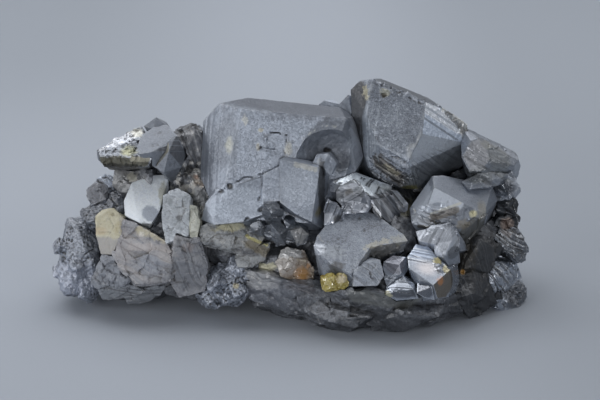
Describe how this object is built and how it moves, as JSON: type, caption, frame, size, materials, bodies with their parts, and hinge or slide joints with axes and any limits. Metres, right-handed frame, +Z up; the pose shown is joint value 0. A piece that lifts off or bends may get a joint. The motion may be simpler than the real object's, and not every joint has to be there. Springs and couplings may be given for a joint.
{
  "type": "sphalerite specimen",
  "caption": "Hand-sized mineral specimen: big dull grey sphalerite crystals with bright galena, pale spar and small amber crystals on dark rock.",
  "frame": {"origin": "centre of the bounding box in plan, on the surface the specimen stands on", "axes": "+X to the right along the specimen's length as seen from its crystal side, +Y away from that side, +Z up"},
  "size_m": [0.1206, 0.0588, 0.057],
  "materials": {
    "blende": "dull frosted crystal faces, dark grey",
    "bright_blende": "bright, nearly metallic striated crystal faces",
    "galena": "lead-grey, metallic, granular or striated",
    "spar": "pale grey to cream cleavage faces, satin",
    "amber": "amber to yellow, slightly clear",
    "rock": "dark, rough and grainy"
  },
  "bodies": {
    "root": {"peak_crystal": "blende", "block_crystal": "blende", "wedge_crystal": "blende", "front_crystal": "blende", "bright_cluster": "bright_blende", "flank_crystals": "blende", "end_knob": "blende", "end_leaf": "blende", "end_ribbed": "blende", "crest_slab": "bright_blende", "crest_lens": "blende", "left_pale": "bright_blende", "left_dark": "blende", "spar_yellow": "spar", "galena_bank": "galena", "spar_bulk": "spar", "spar_corner": "spar", "spar_keel": "spar", "spar_column": "spar", "spar_leaf": "amber", "amber_crystal": "amber", "yellow_crystals": "amber", "dark_crystals": "blende", "spar_brow": "spar", "galena_striated": "galena", "galena_lump": "galena", "galena_patch": "galena", "back_left": "blende", "back_right": "blende", "back_middle": "blende", "back_low": "blende", "back_end": "blende", "matrix_rock": "rock"}
  },
  "joints": []
}
